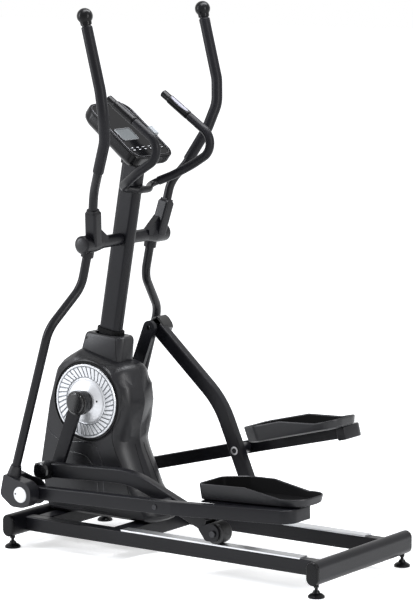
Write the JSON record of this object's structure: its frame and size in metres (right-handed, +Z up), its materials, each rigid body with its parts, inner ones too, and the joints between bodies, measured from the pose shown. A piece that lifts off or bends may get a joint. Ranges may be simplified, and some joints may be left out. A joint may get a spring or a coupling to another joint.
{
  "type": "elliptical trainer",
  "caption": "Front-drive elliptical trainer with moving handles, foot trays on rollers, a ribbed crank disc and a small console.",
  "frame": {"origin": "on the floor, midway between the two stabilisers on the centre plane", "axes": "+X to the rear, where the user stands; +Y to the user's right; +Z up"},
  "size_m": [1.19, 0.6612, 1.6951],
  "materials": {
    "frame_paint": "satin black powder coat",
    "cap_plastic": "satin moulded black plastic",
    "cover_plastic": "finely textured black plastic",
    "console_gloss": "gloss black",
    "clip_grey": "grey plastic",
    "display": "grey liquid crystal window",
    "track_metal": "drawn aluminium",
    "foam": "matte black foam",
    "plate_metal": "polished plates",
    "disc_silver": "silver",
    "cap_bright": "bright cap",
    "steel": "machined steel",
    "cast_iron": "turned cast iron",
    "belt_rubber": "ribbed rubber",
    "footplate_plastic": "textured black plastic",
    "roller_urethane": "dark urethane"
  },
  "bodies": {
    "root": {"front_stabiliser": "frame_paint", "rear_stabiliser": "frame_paint", "stabiliser_caps": "cap_plastic", "levelling_feet": "cap_plastic", "base_rails": "frame_paint", "roller_tracks": "track_metal", "crossmembers": "frame_paint", "main_post": "frame_paint", "mast": "frame_paint", "mast_collar": "cap_plastic", "neck_cover": "cover_plastic", "left_housing": "cover_plastic", "right_housing": "cover_plastic", "swing_axle": "steel", "console_back": "cover_plastic", "console_front": "console_gloss", "display_window": "display", "side_clip": "clip_grey", "handlebar": "frame_paint", "handlebar_grips": "foam", "pulse_grips": "cap_plastic", "pulse_plates": "plate_metal", "drive_bearings": "steel", "drive_belt": "belt_rubber", "frame_bolts": "steel", "magnet_brake": "steel"},
    "crank": {"crank_axle": "steel", "left_crank": "frame_paint", "right_crank": "frame_paint", "hub_caps": "cap_plastic", "crank_discs": "disc_silver", "drive_pulley": "cap_plastic"},
    "flywheel": {"flywheel": "cast_iron"},
    "idler": {"idler_wheel": "steel"},
    "left_swing": {"left_swing_sleeve": "frame_paint", "left_swing_tube": "frame_paint", "left_swing_cover": "cover_plastic", "left_swing_pin": "cap_bright", "left_handle_tube": "frame_paint", "left_handle_grip": "foam", "left_handle_ball": "cap_plastic"},
    "left_pedal": {"left_pedal_arm": "frame_paint", "left_footplate": "footplate_plastic"},
    "left_link": {"left_link_arm": "frame_paint", "left_link_cover": "cap_plastic", "left_link_pins": "steel"},
    "left_roller": {"left_roller": "roller_urethane"},
    "right_swing": {"right_swing_sleeve": "frame_paint", "right_swing_tube": "frame_paint", "right_swing_cover": "cover_plastic", "right_swing_pin": "cap_bright", "right_handle_tube": "frame_paint", "right_handle_grip": "foam", "right_handle_ball": "cap_plastic"},
    "right_pedal": {"right_pedal_arm": "frame_paint", "right_footplate": "footplate_plastic"},
    "right_link": {"right_link_arm": "frame_paint", "right_link_cover": "cap_plastic", "right_link_pins": "steel"},
    "right_roller": {"right_roller": "roller_urethane"}
  },
  "joints": [
    {"name": "crank_turn", "type": "hinge", "parent": "root", "child": "crank", "pos_m": [-0.3876, 0, 0.463], "axis": [0, 1, 0], "continuous": true},
    {"name": "flywheel_spin", "type": "hinge", "parent": "root", "child": "flywheel", "pos_m": [-0.43483, 0, 0.238], "axis": [0, 1, 0], "continuous": true},
    {"name": "idler_spin", "type": "hinge", "parent": "root", "child": "idler", "pos_m": [-0.3434, 0, 0.28181], "axis": [0, 1, 0], "continuous": true},
    {"name": "left_swing_turn", "type": "hinge", "parent": "root", "child": "left_swing", "pos_m": [-0.3043, 0, 0.9708], "axis": [0, 1, 0], "range_deg": [-16, 16]},
    {"name": "left_pedal_turn", "type": "hinge", "parent": "left_swing", "child": "left_pedal", "pos_m": [-0.47994, 0, 0.19069], "axis": [0, 1, 0], "range_deg": [-11, 11]},
    {"name": "left_link_turn", "type": "hinge", "parent": "left_pedal", "child": "left_link", "pos_m": [0.00556, 0, 0.20451], "axis": [0, 1, 0], "range_deg": [-6, 6]},
    {"name": "left_roller_turn", "type": "hinge", "parent": "left_link", "child": "left_roller", "pos_m": [0.18194, 0, 0.1336], "axis": [0, 1, 0], "range_deg": [-376, 376]},
    {"name": "right_swing_turn", "type": "hinge", "parent": "root", "child": "right_swing", "pos_m": [-0.3043, 0, 0.9708], "axis": [0, 1, 0], "range_deg": [-16, 16]},
    {"name": "right_pedal_turn", "type": "hinge", "parent": "right_swing", "child": "right_pedal", "pos_m": [-0.46895, 0, 0.18829], "axis": [0, 1, 0], "range_deg": [-11, 11]},
    {"name": "right_link_turn", "type": "hinge", "parent": "right_pedal", "child": "right_link", "pos_m": [0.00185, 0, 0.30769], "axis": [0, 1, 0], "range_deg": [-6, 6]},
    {"name": "right_roller_turn", "type": "hinge", "parent": "right_link", "child": "right_roller", "pos_m": [0.07822, 0, 0.1336], "axis": [0, 1, 0], "range_deg": [-360, 360]}
  ],
  "couplings": [
    {"joint": "flywheel_spin", "follows": "crank_turn", "ratio": 4},
    {"joint": "idler_spin", "follows": "crank_turn", "ratio": -4.5},
    {"joint": "left_pedal_turn", "follows": "left_swing_turn", "ratio": -0.6382},
    {"joint": "left_link_turn", "follows": "left_swing_turn", "ratio": -0.3618},
    {"joint": "left_roller_turn", "follows": "left_swing_turn", "ratio": -23.21},
    {"joint": "right_swing_turn", "follows": "left_swing_turn", "ratio": -1},
    {"joint": "right_pedal_turn", "follows": "left_swing_turn", "ratio": 0.6503},
    {"joint": "right_link_turn", "follows": "left_swing_turn", "ratio": 0.3497},
    {"joint": "right_roller_turn", "follows": "left_swing_turn", "ratio": 22.18}
  ]
}
